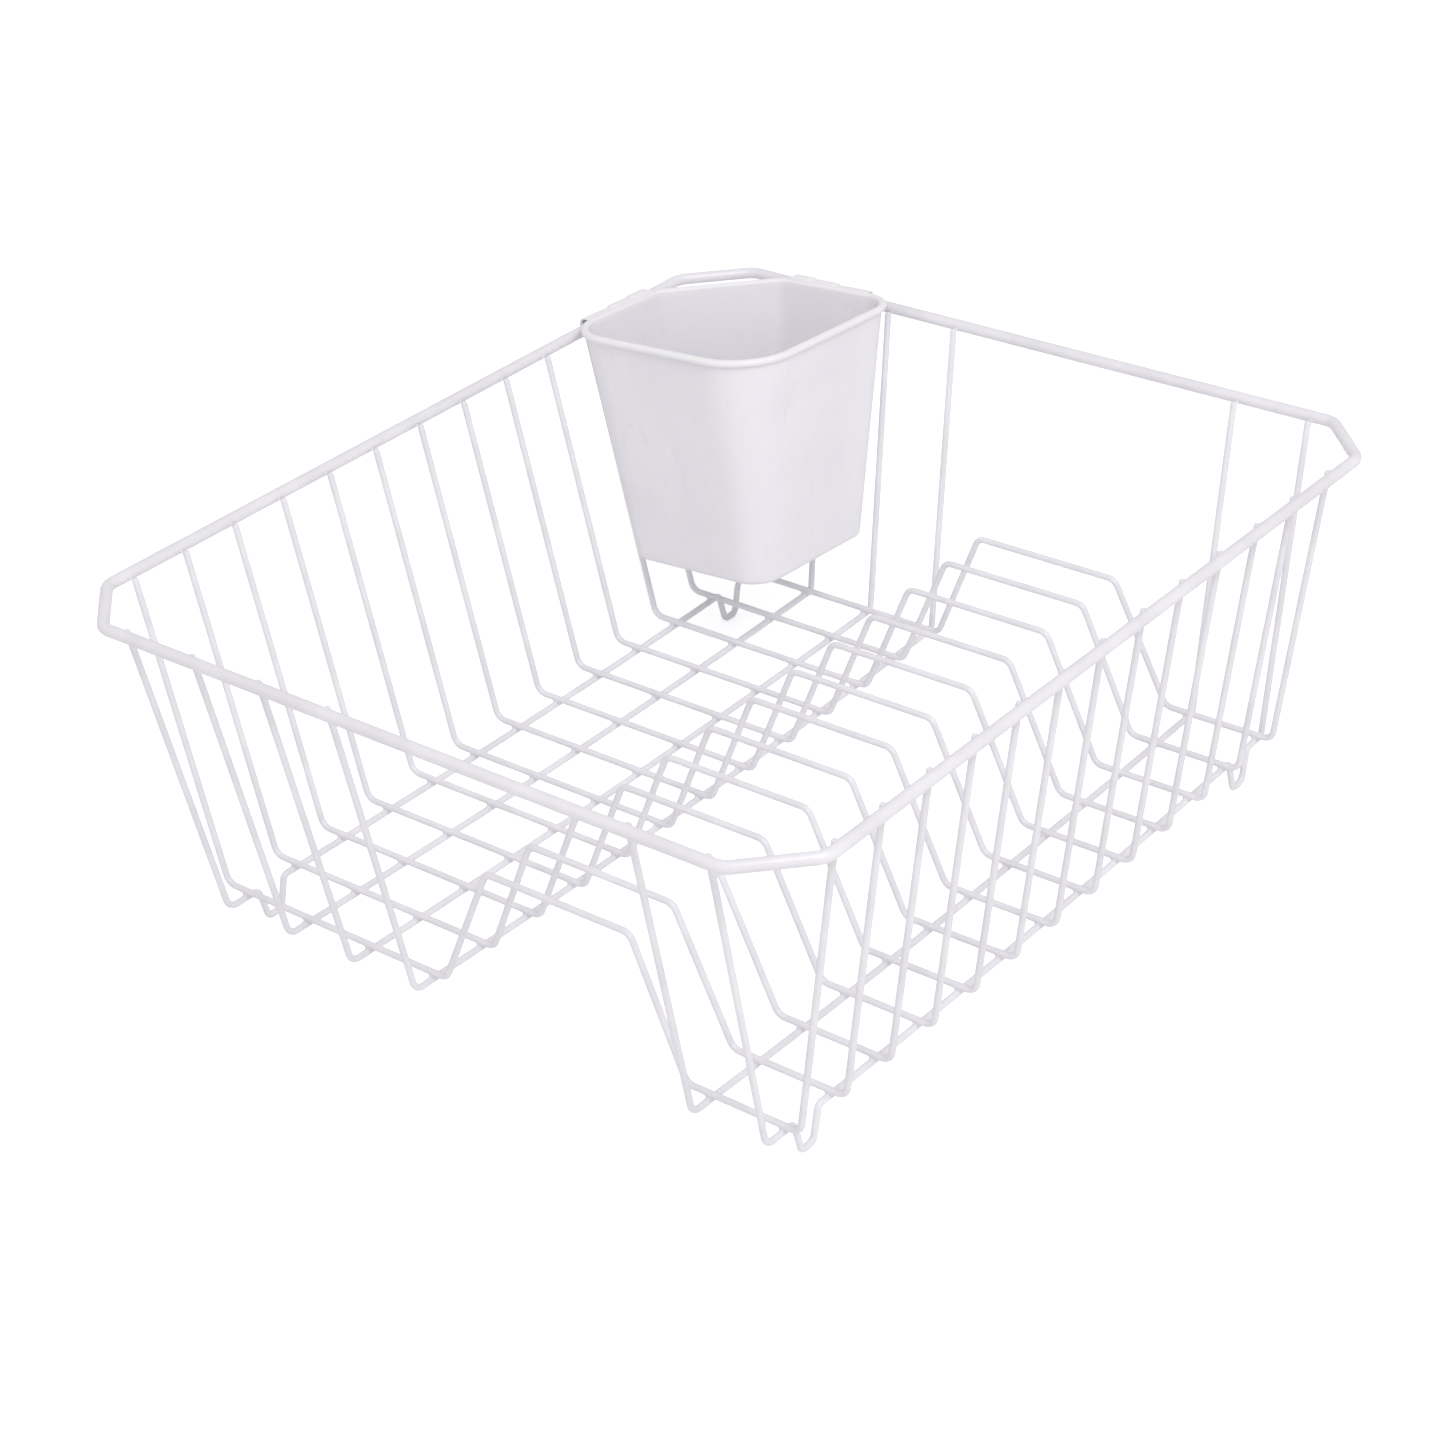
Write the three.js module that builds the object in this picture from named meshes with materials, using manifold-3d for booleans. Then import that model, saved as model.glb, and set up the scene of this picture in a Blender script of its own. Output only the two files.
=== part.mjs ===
// Dish drying rack: a welded, plastic-coated wire basket with a cutlery cup that hangs on its rim.
// Millimetres, +Z up. X runs along the rack, across the plate wires; the open bay is on the +Y side.

import * as THREE from "three";
import { mergeVertices } from "three/addons/utils/BufferGeometryUtils.js";
import Module from "manifold-3d";

// Overall sizes, outside to outside; the height is from the feet to the top of the rim.
const RACK_LENGTH = 363.5;
const RACK_WIDTH = 317.2;
const RACK_HEIGHT = 137;

// Wire stock, and the space left between wires that are welded together.
const WIRE = 2.5;
const RIM_WIRE = 4.5;
const WELD_GAP = 0.3;
const WIRE_SIDES = 8;
const RIM_SIDES = 12;
const BEND_STEP = 26;

// Rim: chamfered corners, and the bead where the two ends of the wire meet.
const RIM_CHAMFER = 22;
const RIM_BEND = 8;
const RIM_BEAD_LENGTH = 4;
const RIM_BEAD_PROUD = 0.12;

// How far each wall leans outward between the floor and the rim.
const NEAR_WALL_RUN = 22.5;
const FAR_WALL_RUN = 31;
const OPEN_WALL_RUN = 29.3;
const PLATE_WALL_RUN = 23;

// Plate wires: thirteen across the rack, each with one trapezoid hump that holds the plates apart.
const PLATE_WIRES = 13;
const FROM_NEAR_WALL = 8.9;
const FROM_FAR_WALL = 4.6;
const WIRE_BEND = 4.5;
const HUMP_HEIGHT = 49.5;
const HUMP_TOP = 62.7;
const HUMP_LEG_RUN = 22;
const PLATE_BAY = 46.6;
const END_HUMP_LEAN = 2.2;
const FLOOR_SAG = 2.5;

// Long wires: four under the open bay and two under the plate bay.
const OPEN_BAY_WIRES = 4;
const FROM_OPEN_WALL = 8.8;
const FROM_PLATE_WALL = 7.3;
const INSIDE_HUMP = 6.7;
const OUTSIDE_HUMP = 9.1;
const FAN_AT_MIDDLE = 4.4;
const FAN_PER_MM = 0.035;

// Foot loops, bent down from the outermost long wires.
const FOOT_DEPTH = 13;
const FOOT_TOP_WIDTH = 13;
const FOOT_BOTTOM_WIDTH = 6.6;
const FOOT_BEND = 2.6;

// Cutlery cup: outside sizes of the body, its wall, its rolled lip and the flanges that hook on the rim.
const CUP_TOP = 93;
const CUP_BOTTOM = 69;
const CUP_DEPTH = 96.5;
const CUP_WALL = 1.8;
const CUP_BASE_IN = 3;
const CUP_BEND_STEPS = 3;
const CUP_BASE_ROUND = 2.5;
const LIP_OUT = 1.6;
const LIP_HEIGHT = 2.7;
const CUP_SET_IN = 4.7;
const CUP_TOUCH_GAP = 1;
const FLANGE_THICKNESS = 0.8;
const HOOK_DROP = 5;
const HOOK_THICKNESS = 0.8;
const HOOK_ROUND = 2.8;
const HOOK_STEPS = 4;
const HOOK_GAP = 0.35;
const REST_GAP = 0.3;
const FLANGE_END = 8.5;
const FLANGE_STEP_STARTS = [-29, -13, -1];

// Each corner of the cup has two bends with a flat between them: the bends' radius and how much the
// flat cuts off each side, at the mouth and at the base. They go round from the +X +Y corner, which is
// cut wide to pass inside the rim's chamfer.
const CUP_CORNERS = [
  { bend: [8, 7], cut: [36, 25] },
  { bend: [17, 9], cut: [10.6, 6] },
  { bend: [22, 11], cut: [13.6, 7.2] },
  { bend: [13, 7], cut: [8.3, 4.4] },
];

// Places worked out from the sizes above, measured from the middle of the rack on the ground.
const rimX = (RACK_LENGTH - RIM_WIRE) / 2;
const rimY = (RACK_WIDTH - RIM_WIRE) / 2;
const rimZ = RACK_HEIGHT - RIM_WIRE / 2;
const longWireZ = FOOT_DEPTH + WIRE / 2;
const plateWireZ = longWireZ + WIRE + WELD_GAP;
const firstPlateX = -rimX + NEAR_WALL_RUN + FROM_NEAR_WALL;
const lastPlateX = rimX - FAR_WALL_RUN - FROM_FAR_WALL;
const platePitch = (lastPlateX - firstPlateX) / (PLATE_WIRES - 1);
const openFloorY = rimY - OPEN_WALL_RUN;
const plateFloorY = -rimY + PLATE_WALL_RUN;
const plateHumpY = plateFloorY + PLATE_BAY;
const openHumpY = plateHumpY + HUMP_TOP + 2 * HUMP_LEG_RUN;
const rimClear = (RIM_WIRE + WIRE) / 2 + WELD_GAP;
const cupFromRim = CUP_TOP / 2 + CUP_SET_IN;

const wasm = await Module();
wasm.setup();

const degrees = THREE.MathUtils.degToRad;
const plateX = (index) => firstPlateX + index * platePitch;

// A line of stations, each with its point and the direction of the wire there. Stretches stay straight,
// and the sections keep one side turned towards `side` along the whole wire.
class WirePath extends THREE.Curve {
  constructor(stations, side) {
    super();
    this.stations = stations;
    this.side = side;
  }

  get steps() {
    return this.stations.length - 1;
  }

  getPointAt(u, target = new THREE.Vector3()) {
    return target.copy(this.stations[Math.round(u * this.steps)].point);
  }

  getTangentAt(u, target = new THREE.Vector3()) {
    return target.copy(this.stations[Math.round(u * this.steps)].tangent);
  }

  computeFrenetFrames() {
    const tangents = this.stations.map((station) => station.tangent.clone());
    const normals = tangents.map((tangent) =>
      this.side.clone().projectOnPlane(tangent).normalize(),
    );
    const binormals = tangents.map((tangent, i) => tangent.clone().cross(normals[i]));
    return { tangents, normals, binormals };
  }
}

// The stations of one bend: an arc of the given radius that rounds off the corner between two stretches.
function bendStations(before, corner, after, radius) {
  const into = corner.clone().sub(before).normalize();
  const out = after.clone().sub(corner).normalize();
  const turn = into.angleTo(out);
  const steps = Math.round(turn / degrees(BEND_STEP));
  if (steps < 1) {
    return [{ point: corner.clone(), tangent: into.clone().add(out).normalize() }];
  }
  const setback = radius * Math.tan(turn / 2);
  const start = corner.clone().addScaledVector(into, -setback);
  const inward = out.clone().projectOnPlane(into).normalize();
  const stations = [];
  for (let step = 0; step <= steps; step++) {
    const angle = (turn * step) / steps;
    const point = start
      .clone()
      .addScaledVector(into, radius * Math.sin(angle))
      .addScaledVector(inward, radius * (1 - Math.cos(angle)));
    const tangent = into
      .clone()
      .multiplyScalar(Math.cos(angle))
      .addScaledVector(inward, Math.sin(angle));
    stations.push({ point, tangent });
  }
  return stations;
}

// A wire bent at each inner corner of the line; radii gives one bend radius per inner corner.
function bentWire(corners, radii, side) {
  const last = corners.length - 1;
  const first = corners[1].clone().sub(corners[0]).normalize();
  const final = corners[last].clone().sub(corners[last - 1]).normalize();
  const stations = [{ point: corners[0], tangent: first }];
  for (let i = 1; i < last; i++) {
    stations.push(...bendStations(corners[i - 1], corners[i], corners[i + 1], radii(i)));
  }
  stations.push({ point: corners[last], tangent: final });
  return new WirePath(stations, side);
}

// A regular polygon drawn round a circle of the wire's diameter, with flats facing along the axes.
function wireSection(diameter, sides) {
  const radius = diameter / 2 / Math.cos(Math.PI / sides);
  const corners = [];
  for (let i = 0; i < sides; i++) {
    const angle = ((2 * i + 1) * Math.PI) / sides;
    corners.push(new THREE.Vector2(radius * Math.cos(angle), radius * Math.sin(angle)));
  }
  return new THREE.Shape(corners);
}

function sweep(path, diameter, sides) {
  return new THREE.ExtrudeGeometry(wireSection(diameter, sides), {
    steps: path.steps,
    extrudePath: path,
  });
}

// Boolean work: a three.js geometry as a manifold-3d solid, and back.
function solidOf(geometry) {
  const bare = new THREE.BufferGeometry();
  const plain = geometry.index ? geometry.toNonIndexed() : geometry;
  bare.setAttribute("position", plain.getAttribute("position"));
  const merged = mergeVertices(bare, 1e-3);
  return new wasm.Manifold(
    new wasm.Mesh({
      numProp: 3,
      vertProperties: new Float32Array(merged.attributes.position.array),
      triVerts: new Uint32Array(merged.index.array),
    }),
  );
}

function geometryOf(solid) {
  const { vertProperties, triVerts } = solid.getMesh();
  const geometry = new THREE.BufferGeometry();
  geometry.setAttribute("position", new THREE.BufferAttribute(vertProperties, 3));
  geometry.setIndex(new THREE.BufferAttribute(triVerts, 1));
  const faceted = geometry.toNonIndexed();
  faceted.computeVertexNormals();
  return faceted;
}

function joined(geometries) {
  return geometryOf(geometries.map(solidOf).reduce((whole, piece) => whole.add(piece)));
}

// How far the floor hangs below its ends at x: a shallow bow between the outermost plate wires.
function floorSag(x) {
  const middle = (firstPlateX + lastPlateX) / 2;
  const along = (x - middle) / ((lastPlateX - firstPlateX) / 2);
  return FLOOR_SAG * Math.max(0, 1 - along * along);
}

// The end of a wall stretch that starts `run` inside the rim at height `low` and leans against the
// inner side of the rim: how far inside the rim's centre line it ends, and at what height.
function wallTop(run, low) {
  const lean = Math.atan2(run - rimClear, rimZ - low);
  return { inside: rimClear / Math.cos(lean), z: rimZ };
}

function rimGeometry() {
  const cornerX = rimX - RIM_CHAMFER;
  const cornerY = rimY - RIM_CHAMFER;
  const seamX = plateX(PLATE_WIRES / 2);
  const outline = [
    [seamX, -rimY],
    [cornerX, -rimY],
    [rimX, -cornerY],
    [rimX, cornerY],
    [cornerX, rimY],
    [-cornerX, rimY],
    [-rimX, cornerY],
    [-rimX, -cornerY],
    [-cornerX, -rimY],
    [seamX - WELD_GAP, -rimY],
  ];
  const corners = outline.map(([x, y]) => new THREE.Vector3(x, y, rimZ));
  const up = new THREE.Vector3(0, 0, 1);
  const wire = sweep(bentWire(corners, () => RIM_BEND, up), RIM_WIRE, RIM_SIDES);
  const beadRadius = RIM_WIRE / 2 + RIM_BEAD_PROUD;
  const bead = new THREE.CylinderGeometry(beadRadius, beadRadius, RIM_BEAD_LENGTH, 2 * RIM_SIDES);
  bead.rotateZ(Math.PI / 2);
  bead.translate(seamX - WELD_GAP / 2, -rimY, rimZ);
  return joined([wire, bead]);
}

function plateWireGeometry(index) {
  const x = plateX(index);
  const z = plateWireZ - floorSag(x);
  const lean = { 0: END_HUMP_LEAN, [PLATE_WIRES - 1]: -END_HUMP_LEAN }[index] ?? 0;
  const openTop = wallTop(OPEN_WALL_RUN, z);
  const plateTop = wallTop(PLATE_WALL_RUN, z);
  const outline = [
    [x, rimY - openTop.inside, openTop.z],
    [x, openFloorY, z],
    [x, openHumpY, z],
    [x + lean, openHumpY - HUMP_LEG_RUN, z + HUMP_HEIGHT],
    [x + lean, plateHumpY + HUMP_LEG_RUN, z + HUMP_HEIGHT],
    [x, plateHumpY, z],
    [x, plateFloorY, z],
    [x, -rimY + plateTop.inside, plateTop.z],
  ];
  const corners = outline.map((point) => new THREE.Vector3(...point));
  const along = new THREE.Vector3(1, 0, 0);
  return sweep(bentWire(corners, () => WIRE_BEND, along), WIRE, WIRE_SIDES);
}

// The places of the long wires across the floor, from the open wall to the plate wall.
function longWirePlaces() {
  const start = openFloorY - FROM_OPEN_WALL;
  const end = openHumpY + INSIDE_HUMP;
  const places = [];
  for (let i = 0; i < OPEN_BAY_WIRES; i++) {
    places.push(THREE.MathUtils.lerp(start, end, i / (OPEN_BAY_WIRES - 1)));
  }
  places.push(plateHumpY - OUTSIDE_HUMP, plateFloorY + FROM_PLATE_WALL);
  return places;
}

// The four corners of a foot loop whose middle is at x, below a wire at height z.
function footCorners(x, y, z) {
  const low = WIRE / 2;
  return [
    [x - FOOT_TOP_WIDTH / 2, y, z],
    [x - FOOT_BOTTOM_WIDTH / 2, y, low],
    [x + FOOT_BOTTOM_WIDTH / 2, y, low],
    [x + FOOT_TOP_WIDTH / 2, y, z],
  ];
}

function longWireGeometry(y, footed) {
  const top = y + FAN_AT_MIDDLE + FAN_PER_MM * y;
  const nearTop = wallTop(NEAR_WALL_RUN, longWireZ);
  const farTop = wallTop(FAR_WALL_RUN, longWireZ);
  const floor = [];
  for (let index = 0; index < PLATE_WIRES; index++) {
    const x = plateX(index);
    floor.push([x, y, longWireZ - floorSag(x)]);
    if (footed && (index === 0 || index === PLATE_WIRES - 2)) {
      const middle = x + platePitch / 2;
      floor.push(...footCorners(middle, y, longWireZ - floorSag(middle)));
    }
  }
  const outline = [
    [-rimX + nearTop.inside, top, nearTop.z],
    [-rimX + NEAR_WALL_RUN, y, longWireZ],
    ...floor,
    [rimX - FAR_WALL_RUN, y, longWireZ],
    [rimX - farTop.inside, top, farTop.z],
  ];
  const corners = outline.map((point) => new THREE.Vector3(...point));
  const wallBends = [1, corners.length - 2];
  const radii = (i) => (wallBends.includes(i) ? WIRE_BEND : FOOT_BEND);
  const across = new THREE.Vector3(0, 1, 0);
  return sweep(bentWire(corners, radii, across), WIRE, WIRE_SIDES);
}

// Outside half width of the cup's body at a height below its lip.
function cupHalfWidth(z) {
  return THREE.MathUtils.mapLinear(z, 0, -CUP_DEPTH, CUP_TOP / 2, CUP_BOTTOM / 2);
}

// The cup's section from the axis under its base, out and up the wall, over the lip and back inside.
function cupProfile() {
  const inside = -CUP_DEPTH + CUP_WALL;
  const baseHalf = cupHalfWidth(-CUP_DEPTH);
  return [
    [0, -CUP_DEPTH],
    [baseHalf - CUP_BASE_ROUND, -CUP_DEPTH],
    [baseHalf - 0.3 * CUP_BASE_ROUND, -CUP_DEPTH + 0.3 * CUP_BASE_ROUND],
    [cupHalfWidth(-CUP_DEPTH + CUP_BASE_ROUND), -CUP_DEPTH + CUP_BASE_ROUND],
    [cupHalfWidth(-LIP_HEIGHT), -LIP_HEIGHT],
    [cupHalfWidth(-LIP_HEIGHT) + LIP_OUT, -LIP_HEIGHT],
    [cupHalfWidth(-LIP_OUT / 2) + LIP_OUT, -LIP_OUT / 2],
    [cupHalfWidth(0) + LIP_OUT / 2, 0],
    [cupHalfWidth(0) - CUP_WALL, 0],
    [cupHalfWidth(inside + CUP_BASE_ROUND) - CUP_WALL, inside + CUP_BASE_ROUND],
    [cupHalfWidth(inside) - CUP_WALL - CUP_BASE_ROUND, inside],
    [0, inside],
  ].map((point) => new THREE.Vector2(...point));
}

// The place at an angle round one bend of a corner, for a section that reaches `reach` at height z. A
// section inside the outer one has smaller bends, so that the wall keeps its thickness.
function cornerPlace(corner, second, angle, reach, z) {
  const { bend, cut } = CUP_CORNERS[corner];
  const radiusOut = THREE.MathUtils.mapLinear(z, 0, -CUP_DEPTH, ...bend);
  const cutOut = THREE.MathUtils.mapLinear(z, 0, -CUP_DEPTH, ...cut);
  const inward = reach - cupHalfWidth(z);
  const radius = THREE.MathUtils.clamp(radiusOut + inward, 0, reach);
  const setback = cutOut + radiusOut * Math.tan(Math.PI / 8) + inward;
  const along = reach - THREE.MathUtils.clamp(setback, radius, reach);
  const across = reach - radius;
  const centre = second ? new THREE.Vector2(along, across) : new THREE.Vector2(across, along);
  const spoke = new THREE.Vector2(radius * Math.cos(angle), radius * Math.sin(angle));
  return centre.add(spoke).rotateAround(new THREE.Vector2(), (corner * Math.PI) / 2);
}

// The body is turned like a round cup, and each turned section is then squared into four flat sides.
// The sections move towards the rack's middle on the way down.
function cupBodyGeometry() {
  const profile = cupProfile();
  const perBend = CUP_BEND_STEPS + 1;
  const columns = 8 * perBend;
  const body = new THREE.LatheGeometry(profile, columns);
  const position = body.getAttribute("position");
  for (let column = 0; column <= columns; column++) {
    const bend = Math.floor((column % columns) / perBend);
    const step = (column % columns) % perBend;
    const second = bend % 2;
    const angle = ((second + step / CUP_BEND_STEPS) * Math.PI) / 4;
    profile.forEach(({ x: reach, y: z }, row) => {
      const place = cornerPlace(Math.floor(bend / 2), second, angle, reach, z);
      const shift = THREE.MathUtils.mapLinear(z, 0, -CUP_DEPTH, 0, CUP_BASE_IN);
      position.setXYZ(column * profile.length + row, place.x - shift, place.y - shift, z);
    });
  }
  return body;
}

// A bar on the cup's +X side with the given section (distance out, height), between two places along Y.
function sideBar(section, from, to) {
  const shape = new THREE.Shape(section.map((point) => new THREE.Vector2(...point)));
  const bar = new THREE.ExtrudeGeometry(shape, { depth: to - from, bevelEnabled: false });
  bar.rotateX(Math.PI / 2);
  bar.translate(0, to, 0);
  return bar;
}

// How far inside the rim's centre line the inner side of a wall's wires is, at height z.
function wallInset(run, low, z) {
  const slope = (run - rimClear) / (rimZ - low);
  return rimClear + slope * (rimZ - z) + (WIRE / 2) * Math.hypot(1, slope);
}

// The cup's base is pushed in by the two walls behind it, equally along X and Y: the angle that its axis
// leans by, about a level line across the corner. Walls only push, so a cup clear of both hangs upright.
function cupLean() {
  const baseZ = rimZ + 2 * RIM_WIRE - CUP_DEPTH;
  const farInset = wallInset(FAR_WALL_RUN, longWireZ, baseZ);
  const openInset = wallInset(OPEN_WALL_RUN, plateWireZ, baseZ);
  const base = CUP_SET_IN + (CUP_TOP - CUP_BOTTOM) / 2;
  const push = Math.max(farInset, openInset) + CUP_TOUCH_GAP - base - CUP_BASE_IN;
  return Math.SQRT2 * Math.asin(Math.max(push, 0) / CUP_DEPTH);
}

// How far the hook's inner side is from the cup's axis, for the gap behind the rim to be left when the
// cup leans and so draws the hook in.
function hookReach() {
  const lean = cupLean();
  const shortening = (1 - Math.cos(lean)) / 2;
  const below = FLANGE_THICKNESS + REST_GAP + RIM_WIRE / 2;
  const drawnIn = (below * Math.sin(lean)) / Math.SQRT2 + FLANGE_END * shortening;
  return (cupFromRim + RIM_WIRE / 2 + HOOK_GAP + drawnIn) / (1 - shortening);
}

// Points round a quarter circle that ends a corner at [x, z], from its side to its top.
function roundedCorner(x, z, radius) {
  return Array.from({ length: HOOK_STEPS + 1 }, (_, step) => {
    const angle = (step / HOOK_STEPS) * (Math.PI / 2);
    return [x - radius * (1 - Math.cos(angle)), z - radius * (1 - Math.sin(angle))];
  });
}

// The section of a flange on the +X side, raised by `rise`: a shelf over the rim whose rounded edge
// turns down into a hook behind the rim.
function flangeSection(rise) {
  const root = CUP_TOP / 2 - CUP_WALL / 2;
  const inner = hookReach();
  const outer = inner + HOOK_THICKNESS;
  const section = [
    [root, 0],
    [root, -FLANGE_THICKNESS],
    ...roundedCorner(inner, -FLANGE_THICKNESS, HOOK_ROUND - HOOK_THICKNESS).reverse(),
    [inner, -HOOK_DROP],
    [outer, -HOOK_DROP],
    ...roundedCorner(outer, 0, HOOK_ROUND),
  ];
  return section.map(([reach, z]) => [reach, z + rise]);
}

// The flange goes up in steps towards the cup's cut corner, which is the lowest one as the cup leans, so
// that the far end of every step is equally close to the rim.
function flangeGeometries() {
  const fall = Math.sin(cupLean()) / Math.SQRT2;
  return FLANGE_STEP_STARTS.map((start, step) => {
    const next = FLANGE_STEP_STARTS[step + 1];
    const end = next === undefined ? FLANGE_END : next + FLANGE_THICKNESS;
    return sideBar(flangeSection((end - FLANGE_END) * fall), start, end);
  });
}

// Mirrors a bar from the cup's +X side to its +Y side.
function swapSides(geometry) {
  const swapped = geometry.index ? geometry.toNonIndexed() : geometry.clone();
  const position = swapped.getAttribute("position");
  for (let i = 0; i < position.count; i += 3) {
    const corners = [0, 2, 1].map((k) => new THREE.Vector3().fromBufferAttribute(position, i + k));
    corners.forEach(({ x, y, z }, k) => position.setXYZ(i + k, y, x, z));
  }
  return swapped;
}

function cupGeometry() {
  const flange = flangeGeometries();
  return joined([cupBodyGeometry(), ...flange, ...flange.map(swapSides)]);
}

// The cup hangs in the corner of the rim and leans with the walls, so its far corner is the lowest.
function placeCup(cup) {
  const axis = new THREE.Vector3(-1, 1, 0).normalize();
  cup.quaternion.setFromAxisAngle(axis, cupLean());
  const outer = cupFromRim + RIM_WIRE / 2;
  const touch = new THREE.Vector3(outer, FLANGE_END, -FLANGE_THICKNESS);
  const drop = touch.applyQuaternion(cup.quaternion).z;
  const height = rimZ + RIM_WIRE / 2 + REST_GAP - drop;
  cup.position.set(rimX - cupFromRim, rimY - cupFromRim, height);
}

const coatedWire = () =>
  new THREE.MeshStandardMaterial({ color: 0xf2f0f6, roughness: 0.36, metalness: 0 });

const cupPlastic = () =>
  new THREE.MeshStandardMaterial({ color: 0xf0eff2, roughness: 0.52, metalness: 0 });

function namedMesh(name, geometry, material) {
  const mesh = new THREE.Mesh(geometry, material);
  mesh.name = name;
  return mesh;
}

function buildRack() {
  const rack = new THREE.Group();
  rack.add(namedMesh("rim_wire", rimGeometry(), coatedWire()));
  for (let index = 0; index < PLATE_WIRES; index++) {
    const number = String(index + 1).padStart(2, "0");
    rack.add(namedMesh(`plate_wire_${number}`, plateWireGeometry(index), coatedWire()));
  }
  const places = longWirePlaces();
  places.forEach((y, index) => {
    const footed = index === 0 || index === places.length - 1;
    rack.add(namedMesh(`long_wire_${index + 1}`, longWireGeometry(y, footed), coatedWire()));
  });
  const cup = namedMesh("cutlery_cup", cupGeometry(), cupPlastic());
  placeCup(cup);
  rack.add(cup);
  return rack;
}

// The part's origin is in the middle of its outer box, on the ground.
function centred(rack) {
  rack.updateMatrixWorld(true);
  const box = new THREE.Box3().setFromObject(rack, true);
  const middle = box.getCenter(new THREE.Vector3());
  rack.position.set(-middle.x, -middle.y, -box.min.z);
  return rack;
}

const dishRack = centred(buildRack());

export default dishRack;
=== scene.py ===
"""Dish drying rack: the coated wire basket and its cutlery cup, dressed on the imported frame.

Metres, +Z up. X runs along the rack, across the plate wires; the open bay is on the +Y side.
"""

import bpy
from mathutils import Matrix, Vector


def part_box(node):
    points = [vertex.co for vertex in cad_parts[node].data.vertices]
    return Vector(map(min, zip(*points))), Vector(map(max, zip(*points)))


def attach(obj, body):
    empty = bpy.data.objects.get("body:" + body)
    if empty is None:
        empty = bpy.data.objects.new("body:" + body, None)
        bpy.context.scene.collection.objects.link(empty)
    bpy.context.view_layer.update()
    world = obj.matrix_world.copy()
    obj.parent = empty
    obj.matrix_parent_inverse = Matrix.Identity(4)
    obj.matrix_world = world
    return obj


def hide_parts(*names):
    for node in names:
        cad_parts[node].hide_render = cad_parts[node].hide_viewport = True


bl_info = {
    "name": "Dish Drying Rack",
    "version": (1, 0, 0),
    "blender": (4, 5, 0),
    "location": "3D View > Sidebar > Dish Rack",
    "description": "Smooth wires, weld fillets, cutlery cup and studio stage for a dish drying rack",
    "category": "Add Mesh",
}

import bpy
import numpy as np
from bpy.props import FloatProperty, FloatVectorProperty, IntProperty, PointerProperty
from mathutils import Matrix

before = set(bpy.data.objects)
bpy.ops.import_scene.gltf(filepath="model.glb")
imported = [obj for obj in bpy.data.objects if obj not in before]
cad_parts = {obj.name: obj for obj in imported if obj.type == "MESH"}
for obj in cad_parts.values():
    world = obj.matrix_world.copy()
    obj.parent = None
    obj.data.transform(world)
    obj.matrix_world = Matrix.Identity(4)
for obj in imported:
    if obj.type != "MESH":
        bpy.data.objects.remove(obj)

RACK = "rack"
CUP = "cup"
PLATE_WIRES = [name for name in sorted(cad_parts) if name.startswith("plate_wire")]
LONG_WIRES = [name for name in sorted(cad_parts) if name.startswith("long_wire")]
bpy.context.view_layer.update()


# ------------------------------ settings


def amount(name, description, default, **more):
    """A plain number."""
    return FloatProperty(name=name, description=description, default=default, **more)


def length(name, description, default):
    """A size in metres."""
    return amount(name, description, default, unit="LENGTH", precision=5)


def vector(name, description, default, **more):
    """Several numbers, such as a direction."""
    return FloatVectorProperty(name=name, description=description, default=default, **more)


def spot(name, description, default):
    """A place in metres."""
    return vector(name, description, default, subtype="TRANSLATION", unit="LENGTH")


class DISHRACK_PG_wire(bpy.types.PropertyGroup):
    """Sizes of the wire basket."""

    wire: length("Wire", "Thickness of the coated wall and floor wires", 0.0025)
    rim_wire: length("Rim wire", "Thickness of the coated rim", 0.0045)
    weld_gap: length("Weld gap", "Space between two welded wires", 0.0003)
    wire_bend: length("Wire bend", "Centre line radius of a bend in a wall wire", 0.0045)
    rim_bend: length("Rim bend", "Centre line radius of a bend in the rim", 0.008)
    rim_chamfer: length("Rim chamfer", "How much of each rim corner is cut off", 0.022)
    bead_proud: length("Bead", "How far the rim's butt weld stands proud", 0.00012)
    bead_length: length("Bead length", "Length of the rim's butt weld", 0.004)
    near_run: length("Near wall run", "How far the -X wall leans out", 0.0225)
    far_run: length("Far wall run", "How far the +X wall leans out", 0.031)
    open_run: length("Open wall run", "How far the +Y wall leans out", 0.0293)
    plate_run: length("Plate wall run", "How far the -Y wall leans out", 0.023)
    plate_bay: length("Plate bay", "Width of the bay beside the humps", 0.0466)
    hump_height: length("Hump height", "Height of the humps that part the plates", 0.0495)
    hump_top: length("Hump top", "Length of a hump's level top", 0.0627)
    hump_leg_run: length("Hump leg run", "How far a hump's leg leans", 0.022)
    end_hump_lean: length("End hump lean", "How far the two end humps lean in", 0.0022)
    foot_top: length("Foot top", "Width of a foot loop at the floor wires", 0.013)
    foot_bottom: length("Foot bottom", "Width of a foot loop at the ground", 0.0066)
    foot_bend: length("Foot bend", "Centre line radius of a foot's bends", 0.0026)
    end_round: length("End rounding", "Depth of the coating's dome on a cut end", 0.0009)
    fillet: length("Weld fillet", "Width of the coating that fills a weld", 0.0017)


def corners(name, description, default):
    """A length in millimetres for each of the cup's corners, from the +X +Y one round to +X -Y."""
    return vector(name, description, default, size=4)


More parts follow.
